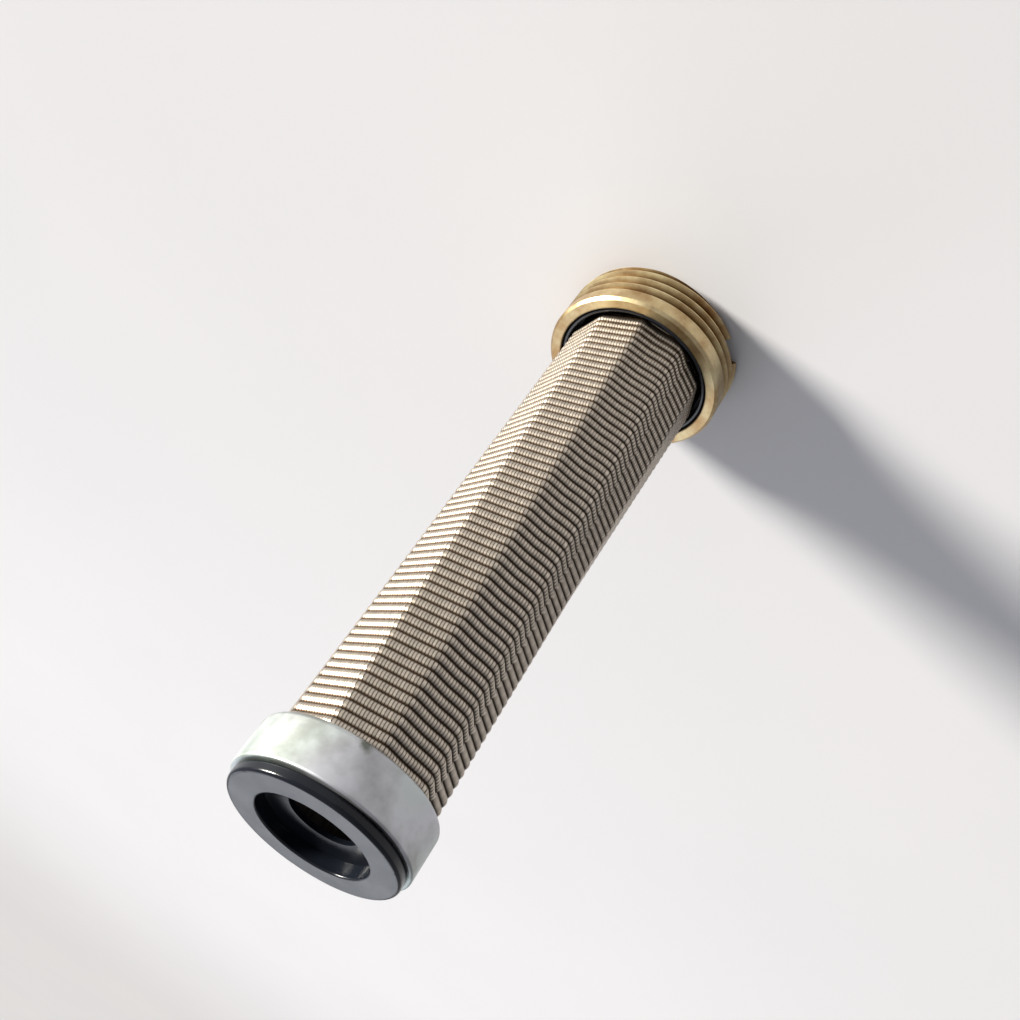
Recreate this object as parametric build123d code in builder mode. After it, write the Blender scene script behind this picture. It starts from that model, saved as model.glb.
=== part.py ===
from build123d import *
import os
from math import cos, radians, sin, sqrt

# Hydraulic return filter: a screw-in strainer of ridged wire cloth on a cage of ten rods.
# It stands on its brass ring, with the axis on Z, z 0 at the ring's outer face and the pipe seal on top.
# Sizes are in millimetres and angles in degrees, counted anticlockwise from +X as seen from above.

# Brass ring
thread_diameter = 33.0
thread_pitch = 2.0
thread_turns = 3.5
thread_depth_ratio = 0.6134
cutter_overshoot = 0.3
ring_height = 10.4
ring_wall = 1.17
ring_lip_height = 2.0
ring_lip_width = 1.5
ring_edge_chamfer = 0.5
slot_count = 2
slot_width = 5.4
slot_depth = 2.4
slot_angle = -141.0

# Black collar that seats the cage and the cloth inside the brass ring
collar_fit = 0.1
collar_height = 8.2
collar_rim = 0.7
collar_floor_height = 2.0
collar_floor_width = 3.1
collar_edge_round = 0.25

# Wire cloth, a plain Dutch weave of 16 warp wires to the inch
warp_pitch = 1.5875
warp_wire_diameter = 0.40
weft_wire_diameter = 0.28
cloth_fit = 0.1
cloth_corner_flat = 1.6
ridge_rows = 59
first_ridge_in_collar = 0.3
lap_width = 3.0
lap_lift = 0.35
lap_lead_in = 3.5

# Cage of straight rods, one in each corner of the cloth, skewed by the twist
rod_count = 10
rod_diameter = 2.0
rod_fit = 0.05
cage_twist = -24.5
first_corner_angle = -108.6
hoop_count = 5
hoop_thickness = 0.8
hoop_height = 3.0
weld_gap = 0.02

# Drawn cap crimped over the top end of the cloth
cap_fit = 0.3
cap_wall = 0.8
cap_skirt_cover = 7.7
cap_shoulder_round = 0.8

# Rubber seal that buttons into the cap
seal_flange_inset = 0.7
seal_flange_height = 1.9
seal_edge_round = 0.6
seal_fit = 0.1
seal_bead_fit = 0.2
seal_bead_overhang = 0.7
seal_bead_height = 1.8
seal_wall = 1.6
seal_recess_depth = 2.3
seal_lip_thickness = 0.8
seal_lip_width = 3.4
seal_lip_drop = 0.7

# Places along the axis, from the ring upwards
cloth_thickness = warp_wire_diameter + 2 * weft_wire_diameter
ridge_depth = (warp_wire_diameter + weft_wire_diameter) / 2
collar_bottom = ring_lip_height
collar_top = collar_bottom + collar_height
cage_bottom = collar_bottom + collar_floor_height
ridges_bottom = collar_top - first_ridge_in_collar
ridges_top = ridges_bottom + ridge_rows * warp_pitch
cap_bottom = ridges_top
cap_top = cap_bottom + cap_skirt_cover
cap_ceiling = cap_top - cap_wall
cage_top = cap_ceiling - seal_bead_height
total_height = cap_top + seal_flange_height

# Radii from the thread inwards to the seat of the cloth
thread_radius = thread_diameter / 2
thread_depth = thread_depth_ratio * thread_pitch
thread_crest = thread_pitch / 8
thread_root = thread_pitch / 4
ring_bore_radius = thread_radius - thread_depth - ring_wall
ring_lip_radius = ring_bore_radius - ring_lip_width
collar_radius = ring_bore_radius - collar_fit
cloth_seat_radius = collar_radius - collar_rim
collar_bore_radius = cloth_seat_radius - collar_floor_width

# Corner of the cloth, small enough for the lapped corner, which sweeps the widest circle, to fit its seat
facet_angle = 360 / rod_count
half_facet = radians(facet_angle / 2)
lapped_corner = cloth_seat_radius - cloth_fit
lap_outwards = lap_lift * cos(half_facet) - cloth_corner_flat / 2 * sin(half_facet)
lap_sideways = lap_lift * sin(half_facet) + cloth_corner_flat / 2 * cos(half_facet)
cloth_corner_radius = sqrt(lapped_corner**2 - lap_sideways**2) - lap_outwards

# Radii from the cloth inwards to the rods
cloth_inner_corner = cloth_corner_radius - cloth_thickness / cos(half_facet)
rod_radius = rod_diameter / 2
rod_circle = cloth_inner_corner - (rod_radius + rod_fit) / cos(half_facet)

# Radii of the cap over the cloth, and of the seal from its bead inside the cloth
cap_inner_radius = cloth_seat_radius + cap_fit
cap_radius = cap_inner_radius + cap_wall
seal_flange_radius = cap_radius - seal_flange_inset
seal_bead_radius = cloth_inner_corner * cos(half_facet) - seal_bead_fit
seal_neck_radius = seal_bead_radius - seal_bead_overhang
cap_hole_radius = seal_neck_radius + seal_fit
seal_bore_radius = seal_neck_radius - seal_wall
seal_lip_radius = seal_bore_radius - seal_lip_width
lip_top = total_height - seal_recess_depth
lip_bottom = lip_top - seal_lip_thickness


def corner(height):
    """Direction of the cage's first rod at a height, of length 1 at both ends of the cage.

    The rod is straight, so between its ends it passes a little nearer to the axis.
    """
    low_end = Vector(1, 0).rotate(Axis.Z, first_corner_angle)
    high_end = low_end.rotate(Axis.Z, cage_twist)
    return low_end + (high_end - low_end) * ((height - cage_bottom) / (cage_top - cage_bottom))


def level_plane(height):
    """Level plane whose x direction follows the first rod as the cage twists."""
    return Plane(origin=(0, 0, height), x_dir=corner(height), z_dir=(0, 0, 1))


def cloth_outline(corner_radius):
    """Corners of the cloth seen from above: ten facets, with the sheet's end lapped over its start.

    The sheet rises over the last stretch of one facet, turns the first corner and stops as a step.
    """
    face_distance = corner_radius * cos(half_facet)
    half_face = corner_radius * sin(half_facet) - cloth_corner_flat / 2
    points = []
    for facet in range(rod_count):
        stretch = [(face_distance, -half_face), (face_distance, half_face)]
        if facet == 0:
            rise_end = (face_distance, lap_lead_in - half_face)
            stretch = [(face_distance + lap_lift, -half_face), rise_end, stretch[1]]
        if facet == rod_count - 1:
            step = half_face - lap_width
            lapped = [(face_distance + lap_lift, step), (face_distance + lap_lift, half_face)]
            stretch = [stretch[0], (face_distance, step)] + lapped
        facet_turn = (facet + 0.5) * facet_angle
        points += [Vector(*point).rotate(Axis.Z, facet_turn) for point in stretch]
    return points


# Brass ring: a threaded bush with a plain shoulder above the thread and slots for a pin spanner
with BuildPart() as brass_ring:
    with BuildSketch(Plane.XZ):
        with BuildLine():
            Polyline(
                (ring_lip_radius, 0),
                (thread_radius - ring_edge_chamfer, 0),
                (thread_radius, ring_edge_chamfer),
                (thread_radius, ring_height - ring_edge_chamfer),
                (thread_radius - ring_edge_chamfer, ring_height),
                (ring_bore_radius + ring_edge_chamfer / 2, ring_height),
                (ring_bore_radius, ring_height - ring_edge_chamfer / 2),
                (ring_bore_radius, ring_lip_height),
                (ring_lip_radius, ring_lip_height),
                close=True,
            )
        make_face()
    revolve(axis=Axis.Z)
    # The helix starts half a pitch below the face, so that the groove runs out through it
    with BuildLine() as thread_path:
        Helix(
            pitch=thread_pitch,
            height=(thread_turns + 0.5) * thread_pitch,
            radius=thread_radius,
            center=(0, 0, -thread_pitch / 2),
        )
    thread_start = Plane(origin=thread_path.line @ 0, x_dir=(1, 0, 0), z_dir=thread_path.line % 0)
    groove_mouth = (thread_pitch - thread_crest) / 2
    flank_slope = (groove_mouth - thread_root / 2) / thread_depth
    with BuildSketch(thread_start):
        with BuildLine():
            Polyline(
                (cutter_overshoot, -groove_mouth - flank_slope * cutter_overshoot),
                (cutter_overshoot, groove_mouth + flank_slope * cutter_overshoot),
                (-thread_depth, thread_root / 2),
                (-thread_depth, -thread_root / 2),
                close=True,
            )
        make_face()
    sweep(path=thread_path.line, is_frenet=True, mode=Mode.SUBTRACT)
    # Spanner slots across the outer face
    with BuildSketch(Plane.XY):
        with PolarLocations(thread_radius, slot_count, start_angle=slot_angle):
            Rectangle(thread_radius, slot_width)
    extrude(amount=slot_depth, mode=Mode.SUBTRACT)

# Collar: a black moulded ring that drops on the brass lip, with a floor for the rods and a rim round
# the cloth
with BuildPart() as ring_collar:
    with BuildSketch(Plane.XZ):
        with BuildLine():
            Polyline(
                (collar_bore_radius, collar_bottom),
                (collar_radius, collar_bottom),
                (collar_radius, collar_top),
                (cloth_seat_radius, collar_top),
                (cloth_seat_radius, cage_bottom),
                (collar_bore_radius, cage_bottom),
                close=True,
            )
        make_face()
    revolve(axis=Axis.Z)
    rim_round = min(collar_edge_round, 0.4 * collar_rim)
    fillet(ring_collar.edges().group_by(Axis.Z)[-1], rim_round)

# Wire cloth sleeve: a ruled loft through a valley and a crest for every warp wire. The two ends that
# the collar and the cap hide are pressed flat. Its bore twists in short spans, so each corner meets
# the same corner in the next one
cloth_levels = [(cage_bottom, ridge_depth)]
for row in range(ridge_rows):
    cloth_levels.append((ridges_bottom + row * warp_pitch, ridge_depth))
    cloth_levels.append((ridges_bottom + (row + 0.5) * warp_pitch, 0))
cloth_levels.append((ridges_top, ridge_depth))
cloth_levels.append((cap_ceiling, ridge_depth))
bore_spans = 6
with BuildPart() as mesh_sleeve:
    for height, depth in cloth_levels:
        with BuildSketch(level_plane(height)):
            with BuildLine():
                outline = cloth_outline(cloth_corner_radius * corner(height).length - depth)
                Polyline(*outline, close=True)
            make_face()
    loft(ruled=True)
    for step in range(bore_spans + 1):
        height = cage_bottom + step * (cap_ceiling - cage_bottom) / bore_spans
        with BuildSketch(level_plane(height)):
            with BuildLine():
                inner_corner = Vector(cloth_inner_corner * corner(height).length, 0)
                turns = [number * facet_angle for number in range(rod_count)]
                Polyline(*[inner_corner.rotate(Axis.Z, turn) for turn in turns], close=True)
            make_face()
    loft(ruled=True, mode=Mode.SUBTRACT)

# Cage rods: ten straight wires that stand on the collar's floor and end under the seal
rods = []
for number in range(rod_count):
    turn = number * facet_angle
    foot = corner(cage_bottom).rotate(Axis.Z, turn) * rod_circle + Vector(0, 0, cage_bottom)
    head = corner(cage_top).rotate(Axis.Z, turn) * rod_circle + Vector(0, 0, cage_top)
    with BuildPart() as support_rod:
        with BuildSketch(Plane.XY.offset(cage_bottom)):
            with Locations((foot.X, foot.Y)):
                Circle(rod_radius)
        extrude(amount=(head - foot).length, dir=(head - foot).normalized())
    support_rod.part.label = f"support_rod_{number + 1:02d}"
    rods.append(support_rod.part)

# Cage hoops: flat strip rings welded inside the rods, spread evenly between the collar and the seal
hoops = []
hoop_spacing = (cage_top - cage_bottom - hoop_height) / (hoop_count - 1)
for number in range(hoop_count):
    hoop_bottom = cage_bottom + number * hoop_spacing
    nearest_rod = min(corner(hoop_bottom + step * hoop_height / 2).length for step in range(3))
    hoop_radius = nearest_rod * rod_circle - rod_radius - weld_gap
    with BuildPart() as support_hoop:
        with BuildSketch(Plane.XY.offset(hoop_bottom)):
            Circle(hoop_radius)
            Circle(hoop_radius - hoop_thickness, mode=Mode.SUBTRACT)
        extrude(amount=hoop_height)
    support_hoop.part.label = f"support_hoop_{number + 1}"
    hoops.append(support_hoop.part)

# End cap: a drawn cup whose rolled rim is crimped on the cloth
with BuildPart() as end_cap:
    with BuildSketch(Plane.XZ):
        with BuildLine():
            Polyline(
                (cap_hole_radius, cap_top),
                (cap_radius, cap_top),
                (cap_radius, cap_bottom),
                (cloth_seat_radius, cap_bottom),
                (cloth_seat_radius, cap_bottom + cap_wall),
                (cap_inner_radius, cap_bottom + 2 * cap_wall),
                (cap_inner_radius, cap_ceiling),
                (cap_hole_radius, cap_ceiling),
                close=True,
            )
        make_face()
    revolve(axis=Axis.Z)
    rim = end_cap.edges().filter_by(GeomType.CIRCLE).group_by(SortBy.RADIUS)[-1]
    fillet(rim.sort_by(Axis.Z)[0], cap_shoulder_round)
    fillet(rim.sort_by(Axis.Z)[-1], cap_wall / 2)

# Pipe seal: a black rubber grommet with a flange over the cap, a neck through its hole, a bead below
# and a thin lip in the bore that slopes inwards, so that the pipe pushes it open
with BuildPart() as end_seal:
    with BuildSketch(Plane.XZ):
        with BuildLine():
            Polyline(
                (seal_bore_radius, total_height),
                (seal_flange_radius, total_height),
                (seal_flange_radius, cap_top),
                (seal_neck_radius, cap_top),
                (seal_neck_radius, cap_ceiling),
                (seal_bead_radius, cap_ceiling),
                (seal_bead_radius, cage_top),
                (seal_bore_radius, cage_top),
                (seal_bore_radius, lip_bottom),
                (seal_lip_radius, lip_bottom - seal_lip_drop),
                (seal_lip_radius, lip_top - seal_lip_drop),
                (seal_bore_radius, lip_top),
                close=True,
            )
        make_face()
    revolve(axis=Axis.Z)
    flange_edges = end_seal.edges().filter_by(GeomType.CIRCLE).group_by(SortBy.RADIUS)[-1]
    fillet(flange_edges, seal_edge_round)
    mouth_edge = end_seal.edges().group_by(Axis.Z)[-1].group_by(SortBy.RADIUS)[0]
    fillet(mouth_edge, seal_edge_round / 2)

brass_ring.part.label = "brass_ring"
ring_collar.part.label = "ring_collar"
mesh_sleeve.part.label = "mesh_sleeve"
end_cap.part.label = "end_cap"
end_seal.part.label = "end_seal"
pieces = [brass_ring.part, ring_collar.part, mesh_sleeve.part, end_cap.part, end_seal.part] + rods + hoops

os.makedirs("parts", exist_ok=True)
for piece in pieces:
    export_step(piece, f"parts/{piece.label}.step")
print(f"{len(pieces)} pieces, {total_height:.1f} mm tall")
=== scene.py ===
# %% [markdown]
# # A hydraulic return filter
# This strainer screws into the return port of an oil tank. A sleeve of woven wire covers a cage of ten
# rods. A threaded brass ring holds the cage at the bottom, and a zinc plated cap with a rubber pipe seal
# closes the top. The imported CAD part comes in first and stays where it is: it gives every place and
# size, and this script adds the woven wires, the finishes, the light and the camera.

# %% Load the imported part
from math import atan2, ceil, copysign, cos, floor, pi, radians, sin, sqrt, tan

import bmesh
import bpy
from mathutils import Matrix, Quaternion, Vector, noise


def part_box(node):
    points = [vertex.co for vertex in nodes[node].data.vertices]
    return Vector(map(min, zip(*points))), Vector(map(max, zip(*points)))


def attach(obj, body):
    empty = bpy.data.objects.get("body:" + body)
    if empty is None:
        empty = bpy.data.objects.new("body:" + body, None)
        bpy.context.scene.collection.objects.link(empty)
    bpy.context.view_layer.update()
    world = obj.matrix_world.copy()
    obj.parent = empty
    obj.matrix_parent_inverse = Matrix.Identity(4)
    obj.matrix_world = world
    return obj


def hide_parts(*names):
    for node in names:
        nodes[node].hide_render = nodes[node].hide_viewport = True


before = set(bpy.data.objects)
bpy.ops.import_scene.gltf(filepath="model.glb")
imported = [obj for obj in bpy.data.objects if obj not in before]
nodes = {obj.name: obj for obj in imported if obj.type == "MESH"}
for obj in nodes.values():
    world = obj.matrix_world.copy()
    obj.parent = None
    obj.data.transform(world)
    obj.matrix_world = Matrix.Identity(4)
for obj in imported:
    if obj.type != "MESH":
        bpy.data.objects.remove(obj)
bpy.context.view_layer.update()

mm = 0.001
print("solids:", len(nodes))

# %% [markdown]
# ## Helpers for materials
# Every finish below is a node tree on a Principled shader. One function turns the hex colours that a
# painter would pick into Blender's linear light, and one adds a node with its settings and its links,
# so each material reads as a short list of what happens to its surface.


# %% Material helpers
def colour(hex_code):
    """An sRGB hex colour as linear RGBA."""
    parts = [int(hex_code[place : place + 2], 16) / 255 for place in (1, 3, 5)]
    linear = [part / 12.92 if part <= 0.04045 else ((part + 0.055) / 1.055) ** 2.4 for part in parts]
    return (*linear, 1.0)


def new_material(name, **shader_values):
    """A material whose Principled shader has these constant values, named as its sockets are."""
    material = bpy.data.materials.new(name)
    material.use_nodes = True
    shader = material.node_tree.nodes["Principled BSDF"]
    for socket, value in shader_values.items():
        shader.inputs[socket.replace("_", " ")].default_value = value
    return material, shader


def add(material, kind, inputs=None, **settings):
    """Adds a node of a kind to a material. An input that is a socket is linked, any other is set."""
    node = material.node_tree.nodes.new("ShaderNode" + kind)
    for setting, value in settings.items():
        setattr(node, setting, value)
    for socket, value in (inputs or {}).items():
        if isinstance(value, bpy.types.NodeSocket):
            material.node_tree.links.new(value, node.inputs[socket])
        else:
            node.inputs[socket].default_value = value
    return node


def feed(material, shader, **sources):
    """Links node outputs to the shader's sockets."""
    for socket, source in sources.items():
        material.node_tree.links.new(source, shader.inputs[socket.replace("_", " ")])


def ramp(material, factor, low, high, low_at=0.0, high_at=1.0):
    """A colour that runs from low to high, two hex colours, as the factor goes from low_at to high_at."""
    node = add(material, "ValToRGB", {"Fac": factor})
    for stop, position, hex_code in zip(node.color_ramp.elements, (low_at, high_at), (low, high)):
        stop.position = position
        stop.color = colour(hex_code)
    return node.outputs["Color"]


def mix(material, factor, under, over, blend="MIX"):
    """One colour laid over another by a factor."""
    inputs = {"Factor": factor, "A": under, "B": over}
    return add(material, "Mix", inputs, data_type="RGBA", blend_type=blend).outputs["Result"]


def mark(material, place, centre, reach):
    """A factor that is 1 on one small ragged mark and 0 elsewhere. Centre and reach are in millimetres."""
    away = add(material, "VectorMath", {0: place, 1: Vector(centre) * mm}, operation="DISTANCE")
    ragged = add(material, "TexNoise", {"Vector": place, "Scale": 1.2 / (reach * mm), "Detail": 3.0})
    far = add(
        material,
        "Math",
        {0: ragged.outputs["Fac"], 1: 1.4 * reach * mm, 2: away.outputs["Value"]},
        operation="MULTIPLY_ADD",
    )
    edge = {"Value": far.outputs["Value"], "From Min": 1.5 * reach * mm, "From Max": 0.9 * reach * mm}
    return add(material, "MapRange", edge).outputs["Result"]


def dress(material, *names):
    """Gives CAD nodes a material in place of the one that they were packed with."""
    for name in names:
        nodes[name].data.materials.clear()
        nodes[name].data.materials.append(material)
    print(material.name, "on", ", ".join(names))


# %% [markdown]
# ## The camera
# The filter stands on its ring here, so the view of it that a hand-held phone had turns into a camera
# that looks down at the seal and is rolled most of the way round. A real 43 mm lens on a full frame
# gives the same strong perspective. The roll is applied last, about the camera's own view line.

# %% Camera
camera_azimuth = radians(-1.31)
camera_elevation = radians(36.02)
camera_roll = radians(-144.57)
camera_place = Vector((0, -159.84, 167.01)) * mm
camera_data = bpy.data.cameras.new("phone_camera")
camera_data.lens = 43.1
camera_data.sensor_width = 36.0
camera_data.clip_start = 10 * mm
camera_data.clip_end = 50.0
camera = bpy.data.objects.new("phone_camera", camera_data)
bpy.context.scene.collection.objects.link(camera)
backwards = Vector(
    (
        sin(camera_azimuth) * cos(camera_elevation),
        -cos(camera_azimuth) * cos(camera_elevation),
        sin(camera_elevation),
    )
)
camera.rotation_mode = "QUATERNION"
camera.rotation_quaternion = (-backwards).to_track_quat("-Z", "Y") @ Quaternion((0, 0, 1), camera_roll)
camera.location = camera_place
bpy.context.scene.camera = camera
print("camera at", [round(value, 4) for value in camera_place], "lens", camera_data.lens)

# %% [markdown]
# ## Light and floor
# The photograph was taken on a white table in low sunlight from the left of the picture, which is the
# filter's +X side. The cloth that faces the sun nearly burns out, and the far side is lit only by the
# room. A soft panel behind the filter is what the glossy seal mirrors. The phone's plain tone curve,
# which lets white clip, is Blender's Standard view.

# %% Light
bpy.context.scene.view_settings.view_transform = "Standard"
filter_middle = Vector((0, 0, 60)) * mm
towards_sun = Vector((0.96, -0.10, 0.24))
panel_place = Vector((30, 520, 430)) * mm


def aimed(name, data, place):
    """A light at a place that shines at the middle of the filter."""
    light = bpy.data.objects.new(name, data)
    light.location = place
    light.rotation_mode = "QUATERNION"
    light.rotation_quaternion = (filter_middle - place).to_track_quat("-Z", "Y")
    light.visible_camera = False
    bpy.context.scene.collection.objects.link(light)


sun_data = bpy.data.lights.new("low_sun", "SUN")
sun_data.energy = 12.0
sun_data.angle = radians(16)
sun_data.color = colour("#FFFBF2")[:3]
aimed("low_sun", sun_data, filter_middle + towards_sun)

panel_width, panel_height, panel_radiance = 0.60, 0.34, 1.7
panel_data = bpy.data.lights.new("back_panel", "AREA")
panel_data.shape = "RECTANGLE"
panel_data.size, panel_data.size_y = panel_width, panel_height
panel_data.energy = panel_radiance * panel_width * panel_height * pi
panel_data.color = colour("#F2F6FF")[:3]
aimed("back_panel", panel_data, panel_place)

room = bpy.data.worlds.new("pale_room")
room.use_nodes = True
background = room.node_tree.nodes["Background"]
background.inputs["Color"].default_value = colour("#EEF0F6")
background.inputs["Strength"].default_value = 0.42
bpy.context.scene.world = room

# %% Floor
floor_size = 12.0
floor_mesh = bmesh.new()
bmesh.ops.create_grid(floor_mesh, x_segments=8, y_segments=8, size=floor_size / 2)
floor_data = bpy.data.meshes.new("table_top")
floor_mesh.to_mesh(floor_data)
floor_mesh.free()
table_top = bpy.data.objects.new("table_top", floor_data)
bpy.context.scene.collection.objects.link(table_top)

laminate, shader = new_material("matt_white_laminate", Roughness=0.7, IOR=1.5)
place = add(laminate, "TexCoord").outputs["Object"]
cloudy = add(laminate, "TexNoise", {"Vector": place, "Scale": 9.0, "Detail": 3.0})
feed(laminate, shader, Base_Color=ramp(laminate, cloudy.outputs["Fac"], "#C7C6C9", "#CECDCE"))
floor_data.materials.append(laminate)
print("floor in metres:", floor_size)

# %% [markdown]
# ## Sizes of the woven cloth
# The cloth is a plain Dutch weave: thick warp wires lie level round the sleeve, 16 to the inch, and thin
# weft wires run up and down it, each over one warp wire and under the next. The wefts lie so close that
# no hole shows. Where a weft passes over a warp it makes a bump, and the bumps make the rows. Heights
# come from the boxes of the CAD nodes. The other sizes are those of the CAD source, which the pack
# doesn't hold, so they are set again here.

# %% Sizes of the cloth and its cage
warp_pitch = 1.5875 * mm
warp_diameter = 0.40 * mm
weft_diameter = 0.28 * mm
ridge_rows = 59
facets = 10
wefts_per_facet = 30
cloth_corner_radius = 13.09 * mm
rod_seat_radius = 1.05 * mm
first_corner = radians(-108.6)
cage_twist = radians(-24.5)
lap_width = 3.0 * mm
lap_lift = 0.35 * mm
lap_lead_in = 3.5 * mm
lap_level = 1.2 * mm

cage_bottom, cage_top = (corner.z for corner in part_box("support_rod_01"))
cloth_bottom, cloth_top = (corner.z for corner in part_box("mesh_sleeve"))
ridges_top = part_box("end_cap")[0].z
ridges_bottom = ridges_top - ridge_rows * warp_pitch
half_facet = pi / facets
cloth_thickness = warp_diameter + 2 * weft_diameter
wave_height = (warp_diameter + weft_diameter) / 2
middle_radius = cloth_corner_radius * cos(half_facet) - cloth_thickness / 2
bend_radius = rod_seat_radius + cloth_thickness / 2
flat_half = (middle_radius - bend_radius) * tan(half_facet)
facet_width = 2 * (flat_half + bend_radius * half_facet)
weft_pitch = facet_width / wefts_per_facet
print("facet width and weft pitch in mm:", round(facet_width / mm, 3), round(weft_pitch / mm, 3))

# %% [markdown]
# ## Bending flat cloth round the cage
# Weaving in place on a twisted ten-sided tube would be hard to read. It is easier to weave the cloth flat,
# as a loom does, and to bend every vertex afterwards. In the flat cloth, x runs along the cloth, -y is
# its outer side and z is already the height. The bend wraps x round ten flats with round corners, turns
# them with the cage's rods, and lifts the sheet's free edge by its lap. The sheet is as wide as the sleeve
# is round, so the layer that the real lap has under that edge isn't drawn.


# %% Bend
def smooth(share):
    """0 below 0 and 1 above 1, with a soft ramp between them."""
    share = min(max(share, 0.0), 1.0)
    return share * share * (3 - 2 * share)


def corner_direction(height):
    """Direction of the first rod at a height, shorter halfway, where the straight rods lie closer in."""
    low_end = Vector((cos(first_corner), sin(first_corner)))
    high_end = Vector((cos(first_corner + cage_twist), sin(first_corner + cage_twist)))
    return low_end + (high_end - low_end) * ((height - cage_bottom) / (cage_top - cage_bottom))


def lap_rise(along):
    """How far the sheet stands off at a place along it: its free edge is lifted, as by a layer below."""
    return lap_lift * (1 - smooth((along - lap_level) / lap_lead_in))


def bend_round_cage(point):
    """Moves a point of the flat cloth to its place round the cage."""
    along, outwards, height = point.x, -point.y, point.z
    outwards += lap_rise(along)
    first_rod = corner_direction(height)
    facet = floor(along / facet_width)
    across = along - (facet + 0.5) * facet_width
    flat_radius = middle_radius * first_rod.length
    flat_reach = (flat_radius - bend_radius) * tan(half_facet)
    bend = max(abs(across) - flat_half, 0.0) / bend_radius
    flat_part = min(abs(across) / flat_half, 1.0) * flat_reach
    x = flat_radius - bend_radius + (bend_radius + outwards) * cos(bend)
    y = copysign(flat_part + (bend_radius + outwards) * sin(bend), across)
    turn = atan2(first_rod.y, first_rod.x) + (facet + 0.5) * 2 * half_facet
    return Vector((x * cos(turn) - y * sin(turn), x * sin(turn) + y * cos(turn), height))


def grow_wire(mesh, end, move):
    """Extrudes a wire's end face by a move. The old end is taken out where it would stay inside the wire."""
    grown = bmesh.ops.extrude_face_region(mesh, geom=[end])["geom"]
    new_end = next(part for part in grown if isinstance(part, bmesh.types.BMFace))
    moved = [part for part in grown if isinstance(part, bmesh.types.BMVert)]
    bmesh.ops.translate(mesh, verts=moved, vec=move)
    if len(end.edges[0].link_faces) > 2:
        bmesh.ops.delete(mesh, geom=[end], context="FACES_ONLY")
    return new_end, moved


def finish_piece(mesh, name, material, slot, *replaced):
    """Turns a bmesh into a smooth piece that rides on the filter's body and replaces a CAD node."""
    data = bpy.data.meshes.new(name)
    mesh.to_mesh(data)
    mesh.free()
    data.shade_smooth()
    data.materials.append(material)
    piece = bpy.data.objects.new(name, data)
    bpy.context.scene.collection.objects.link(piece)
    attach(piece, "root")
    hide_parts(*replaced)


print("the flat sheet in mm:", round(facets * facet_width / mm, 1), "lap edge:", round(lap_lift / mm, 2))


# %% [markdown]
# ## Finish: drawn stainless wire, woven and oily
# Stainless wire is bright and slightly brown, and oil and dust stay in the grooves between the rows.
# The weaving step stores how deep each vertex lies in the cloth and a tone for each wire. The first
# darkens the grooves, partly for their oil and dust and partly as painted shade, and the second keeps
# the wires from looking cloned, on any side and in any light.

# %% Wire material
wire_steel, shader = new_material("drawn_stainless_wire", Metallic=1.0)
groove = add(wire_steel, "Attribute", attribute_name="weave_height").outputs["Fac"]
tone = add(wire_steel, "Attribute", attribute_name="wire_tone").outputs["Fac"]
# Partly oil and dust, partly painted shade: the ramp darkens the wires that lie deep in the grooves between
# the rows.
groove_dirt_and_shade = ramp(wire_steel, groove, "#3E3126", "#B8AEA1", low_at=0.72, high_at=0.90)
toned = mix(wire_steel, 0.22, groove_dirt_and_shade, tone, "OVERLAY")
film = add(wire_steel, "MapRange", {"Value": groove, "From Min": 0.6, "To Min": 0.6, "To Max": 0.36})
feed(wire_steel, shader, Base_Color=toned, Roughness=film.outputs["Result"])
print("material:", wire_steel.name)

# %% [markdown]
# ## Weft wires
# The finished cloth is rolled, which flattens its wires, so a weft is a four-sided wire that is wider than
# thick. The width is picked so that no light shows between the wires, as in the photograph, and
# neighbours run a little into one another where they cross. A weft is extruded upwards in short steps and
# pushed in and out as a wave. Its long edges are sharp, so that each flat of the sleeve catches the light
# as one. There are 300 of them, only two pixels wide, so four sides are enough. Its neighbour is the same
# wire half a wave on, and thirty bent round the cage are one piece.

# %% Weave the wefts
steps_per_pitch = 5
weft_count = facets * wefts_per_facet
row_dip = 0.42 * warp_pitch
rolled_width = 1.45
tone_step = 7.31


def wave(height, along, parity):
    """How far a weft stands out at a height: over one warp wire, under the next, flat where it is hidden."""
    dip = row_dip * smooth(-along / lap_width)
    rows = (height - dip - ridges_bottom) / warp_pitch - 0.5
    hidden = max(ridges_bottom - height, height - ridges_top) / warp_pitch
    return wave_height * cos(pi * (rows + parity)) * (1 - smooth(hidden + 0.5))


def straight_weft(mesh):
    """A four-sided wire from the cloth's bottom to its top, cut into the steps of the wave."""
    steps = ceil((cloth_top - cloth_bottom) / warp_pitch * steps_per_pitch)
    made = bmesh.ops.create_circle(mesh, cap_ends=True, segments=4, radius=weft_diameter / sqrt(2))
    bmesh.ops.rotate(mesh, verts=made["verts"], matrix=Quaternion((0, 0, 1), pi / 4).to_matrix())
    bmesh.ops.scale(mesh, verts=made["verts"], vec=(rolled_width, 1, 1))
    bmesh.ops.translate(mesh, verts=made["verts"], vec=(0, 0, cloth_bottom))
    mesh.faces.ensure_lookup_table()
    end = mesh.faces[0]
    for _ in range(steps):
        end = grow_wire(mesh, end, (0, 0, (cloth_top - cloth_bottom) / steps))[0]
    for edge in mesh.edges:
        edge.smooth = abs(edge.verts[0].co.z - edge.verts[1].co.z) < weft_diameter / 2
    bmesh.ops.recalc_face_normals(mesh, faces=mesh.faces[:])


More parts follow.
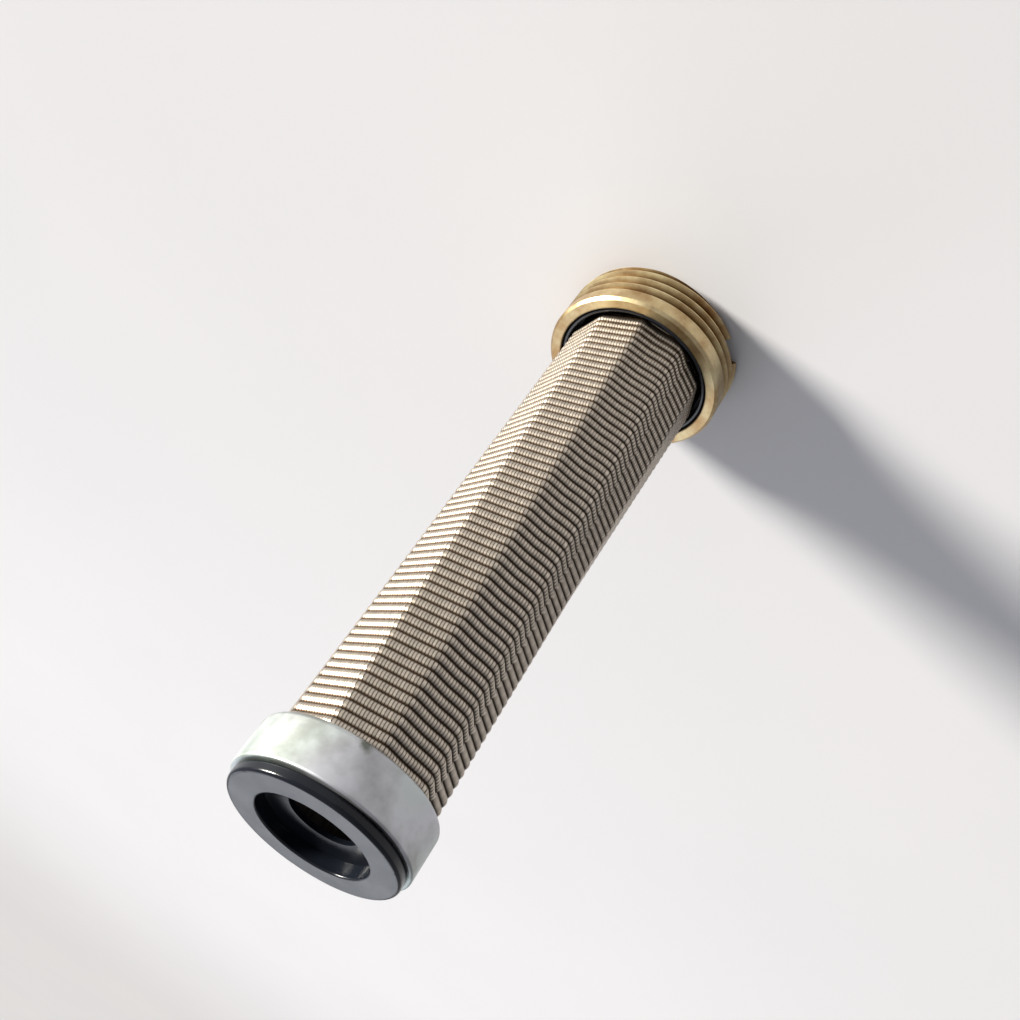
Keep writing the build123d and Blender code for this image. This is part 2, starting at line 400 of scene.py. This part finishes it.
def shape_weft(mesh, verts, index, height_layer, tone_layer):
    """Puts a copy of the straight weft in its place in the flat cloth, waves it and marks its height."""
    along = -lap_width + (index + 0.5) * weft_pitch
    wire_tone = 0.5 + 0.5 * noise.noise(Vector((index * tone_step, 0.5, 2.0)))
    for vert in verts:
        vert[tone_layer] = wire_tone
        stand_out = wave(vert.co.z, along, index % 2)
        vert[height_layer] = 0.5 + (stand_out + weft_diameter / 2) / cloth_thickness
        vert.co.x += along
        vert.co.y -= stand_out
        vert.co = bend_round_cage(vert.co)


one_weft = bmesh.new()
straight_weft(one_weft)
weft_data = bpy.data.meshes.new("one_weft")
one_weft.to_mesh(weft_data)
one_weft.free()
for bundle in range(facets):
    mesh = bmesh.new()
    height_layer = mesh.verts.layers.float.new("weave_height")
    tone_layer = mesh.verts.layers.float.new("wire_tone")
    for index in range(bundle * wefts_per_facet, (bundle + 1) * wefts_per_facet):
        before = len(mesh.verts)
        mesh.from_mesh(weft_data)
        mesh.verts.ensure_lookup_table()
        shape_weft(mesh, mesh.verts[before:], index, height_layer, tone_layer)
    mesh.normal_update()
    finish_piece(mesh, f"weft_wires_{bundle + 1:02d}", wire_steel, "wire_cloth", "mesh_sleeve")
bpy.data.meshes.remove(weft_data)
print("weft wires woven:", weft_count)

# %% [markdown]
# ## Warp wires
# The warps are the thick level wires that the wefts bend over. They show only as short dashes between
# the bumps and as a column of cut ends at the lap. Each is a six-sided wire, extruded along the flat
# cloth with a step at each end of every flat and one in every corner, so that it bends there.

# %% Lay the warps
# The warps carry a depth mark of 0.82 rather than their own, so the groove ramp of dirt and painted shade
# darkens them only in part.
warp_height_mark = 0.82
warp_tone = 0.5
warp_stations = [-lap_width]
for facet in range(facets):
    facet_start = facet * facet_width
    corner_half = facet_width / 2 - flat_half
    warp_stations += [facet_start, facet_start + corner_half, facet_start + facet_width - corner_half]
warp_stations = [station for station in warp_stations if station < facets * facet_width - lap_width]
warp_stations.append(facets * facet_width - lap_width)
first_row = ceil((cloth_bottom - ridges_bottom) / warp_pitch)
last_row = floor((cloth_top - ridges_bottom) / warp_pitch)

mesh = bmesh.new()
height_layer = mesh.verts.layers.float.new("weave_height")
tone_layer = mesh.verts.layers.float.new("wire_tone")
for row in range(first_row, last_row):
    made = bmesh.ops.create_circle(mesh, cap_ends=True, segments=6, radius=warp_diameter / 2)
    bmesh.ops.rotate(mesh, verts=made["verts"], matrix=Quaternion((0, 1, 0), pi / 2).to_matrix())
    row_height = ridges_bottom + (row + 0.5) * warp_pitch
    bmesh.ops.translate(mesh, verts=made["verts"], vec=(warp_stations[0], 0, row_height))
    wire = list(made["verts"])
    end = made["verts"][0].link_faces[0]
    for start, stop in zip(warp_stations, warp_stations[1:]):
        end, moved = grow_wire(mesh, end, (stop - start, 0, 0))
        wire += moved
    for vert in wire:
        vert[height_layer] = warp_height_mark
        vert[tone_layer] = warp_tone
        vert.co.z += row_dip * smooth(-vert.co.x / lap_width)
        vert.co = bend_round_cage(vert.co)
bmesh.ops.recalc_face_normals(mesh, faces=mesh.faces[:])
finish_piece(mesh, "warp_wires", wire_steel, "wire_cloth", "mesh_sleeve")
print("warp wires:", last_row - first_row)

# %% [markdown]
# ## Finish: turned brass, tarnished
# The ring is turned from brass bar. The tool leaves fine rings round it, and air and handling turn it
# from cream to brown. The roots of the thread are darker than the crests and the rim above them, and
# the bore is painted nearly black as painted shade. One small dark grey mark sits on the outer edge.

# %% Brass
thread_root, thread_crest = 15.4 * mm, 16.4 * mm
thread_end, rim_start = 7.4 * mm, 8.0 * mm
bore_wall, bore_edge = 14.15 * mm, 14.6 * mm
brass, shader = new_material("turned_brass", Metallic=1.0)
place = add(brass, "TexCoord").outputs["Object"]
split = add(brass, "SeparateXYZ", {"Vector": place})
flat_place = add(brass, "CombineXYZ", {"X": split.outputs["X"], "Y": split.outputs["Y"]})
radius = add(brass, "VectorMath", {0: flat_place.outputs["Vector"]}, operation="LENGTH")
outwards = {"Value": radius.outputs["Value"], "From Min": thread_root, "From Max": thread_crest}
crest = add(brass, "MapRange", outwards)
upwards = {"Value": split.outputs["Z"], "From Min": thread_end, "From Max": rim_start}
above = add(brass, "MapRange", upwards)
# The roots of the thread are coloured darker than the crests and the rim above the thread.
crest_or_rim = add(brass, "Math", {0: crest.outputs["Result"], 1: above.outputs["Result"]}, operation="MAXIMUM")
past_bore = {"Value": radius.outputs["Value"], "From Min": bore_wall, "From Max": bore_edge}
bore = add(brass, "MapRange", past_bore)
tarnish = add(brass, "TexNoise", {"Vector": place, "Scale": 160.0, "Detail": 5.0, "Roughness": 0.62})
patches = ramp(brass, tarnish.outputs["Fac"], "#A2825A", "#D6C69C", low_at=0.36, high_at=0.66)
darker_roots = mix(brass, crest_or_rim.outputs["Value"], colour("#5E4429"), patches)
# Painted shade: inside the bore the brass is painted nearly black.
bore_shaded = mix(brass, bore.outputs["Result"], colour("#2A1E14"), darker_roots)
# One small dark grey mark is put on the outer edge.
dark_spot = mark(brass, place, (13.5, -9.5, 1.2), 0.55)
spotted = mix(brass, dark_spot, bore_shaded, colour("#4B4B49"))
turning = add(
    brass,
    "TexWave",
    {"Vector": place, "Scale": 900.0, "Distortion": 0.6, "Detail": 2.0},
    bands_direction="Z",
)
marks = add(brass, "Bump", {"Height": turning.outputs["Fac"], "Strength": 0.12, "Distance": 0.02 * mm})
rough = add(brass, "MapRange", {"Value": tarnish.outputs["Fac"], "To Min": 0.26, "To Max": 0.5})
feed(
    brass,
    shader,
    Base_Color=spotted,
    Roughness=rough.outputs["Result"],
    Normal=marks.outputs["Normal"],
)
dress(brass, "brass_ring")

# %% [markdown]
# ## Finish: moulded black nylon
# The collar that seats the cage is injection moulded: a smooth, slightly wavy skin with a clear gloss.

# %% Nylon
nylon, shader = new_material("moulded_black_nylon", IOR=1.53)
place = add(nylon, "TexCoord").outputs["Object"]
skin = add(nylon, "TexNoise", {"Vector": place, "Scale": 240.0, "Detail": 3.0})
shade = ramp(nylon, skin.outputs["Fac"], "#0B0D12", "#171A22")
sink = add(nylon, "Bump", {"Height": skin.outputs["Fac"], "Strength": 0.25, "Distance": 0.05 * mm})
gloss = add(nylon, "MapRange", {"Value": skin.outputs["Fac"], "To Min": 0.16, "To Max": 0.34})
feed(
    nylon,
    shader,
    Base_Color=shade,
    Roughness=gloss.outputs["Result"],
    Normal=sink.outputs["Normal"],
)
dress(nylon, "ring_collar")

# %% [markdown]
# ## Finish: zinc plated steel
# The cap is drawn from thin sheet and zinc plated. Plating gives a satin, bluish white metal, with
# cloudy patches and the faint purple and green of its passivation, and the drawing leaves soft dents.
# One grey smudge lies at the edge over the cloth.

# %% Zinc
zinc, shader = new_material("zinc_plated_steel", Metallic=1.0)
place = add(zinc, "TexCoord").outputs["Object"]
clouds = add(zinc, "TexNoise", {"Vector": place, "Scale": 130.0, "Detail": 4.0, "Roughness": 0.55})
plating = ramp(zinc, clouds.outputs["Fac"], "#9B9D9A", "#CBD0D0", low_at=0.34, high_at=0.62)
hues = add(zinc, "TexNoise", {"Vector": place, "Scale": 60.0, "Detail": 1.0})
passivation = ramp(zinc, hues.outputs["Fac"], "#D9E8DD", "#E6DDEA", low_at=0.38, high_at=0.62)
tinted = mix(zinc, 0.55, plating, passivation, "MULTIPLY")
smudge = mark(zinc, place, (0.8, -14.4, 104.3), 1.5)
smudged = mix(zinc, smudge, tinted, colour("#6C716A"))
satin = add(zinc, "MapRange", {"Value": clouds.outputs["Fac"], "To Min": 0.38, "To Max": 0.58})
dents = add(zinc, "TexNoise", {"Vector": place, "Scale": 90.0, "Detail": 1.0})
hollow = add(zinc, "Bump", {"Height": dents.outputs["Fac"], "Strength": 0.6, "Distance": 0.25 * mm})
feed(
    zinc,
    shader,
    Base_Color=smudged,
    Roughness=satin.outputs["Result"],
    Normal=hollow.outputs["Normal"],
)
dress(zinc, "end_cap")

# %% [markdown]
# ## Finish: moulded black rubber
# The seal looks like nitrile rubber from a polished mould, still oily, so it mirrors the room more than
# rubber usually does.

# %% Rubber
rubber, shader = new_material("oily_black_rubber", IOR=1.52, Specular_IOR_Level=0.23)
place = add(rubber, "TexCoord").outputs["Object"]
bloom = add(rubber, "TexNoise", {"Vector": place, "Scale": 210.0, "Detail": 4.0})
black = ramp(rubber, bloom.outputs["Fac"], "#0A0C11", "#14181F")
oil = add(rubber, "MapRange", {"Value": bloom.outputs["Fac"], "To Min": 0.08, "To Max": 0.30})
ripple = add(rubber, "Bump", {"Height": bloom.outputs["Fac"], "Strength": 0.3, "Distance": 0.06 * mm})
feed(
    rubber,
    shader,
    Base_Color=black,
    Roughness=oil.outputs["Result"],
    Normal=ripple.outputs["Normal"],
)
dress(rubber, "end_seal")

# %% [markdown]
# ## Finish: drawn steel wire and strip of the cage
# The rods and hoops inside are plain drawn steel: grey, satin, with fine scratches along the wire.

# %% Cage steel
cage_steel, shader = new_material("drawn_steel_wire", Metallic=1.0)
place = add(cage_steel, "TexCoord").outputs["Object"]
along_wire = add(cage_steel, "Mapping", {"Vector": place, "Scale": (1.0, 1.0, 0.06)})
fine_lines = {"Vector": along_wire.outputs["Vector"], "Scale": 3000.0, "Detail": 3.0}
scratches = add(cage_steel, "TexNoise", fine_lines)
drawn = ramp(cage_steel, scratches.outputs["Fac"], "#6E6A64", "#A8A49D")
satin = add(cage_steel, "MapRange", {"Value": scratches.outputs["Fac"], "To Min": 0.32, "To Max": 0.5})
feed(cage_steel, shader, Base_Color=drawn, Roughness=satin.outputs["Result"])
dress(cage_steel, *[name for name in nodes if name.startswith("support_")])
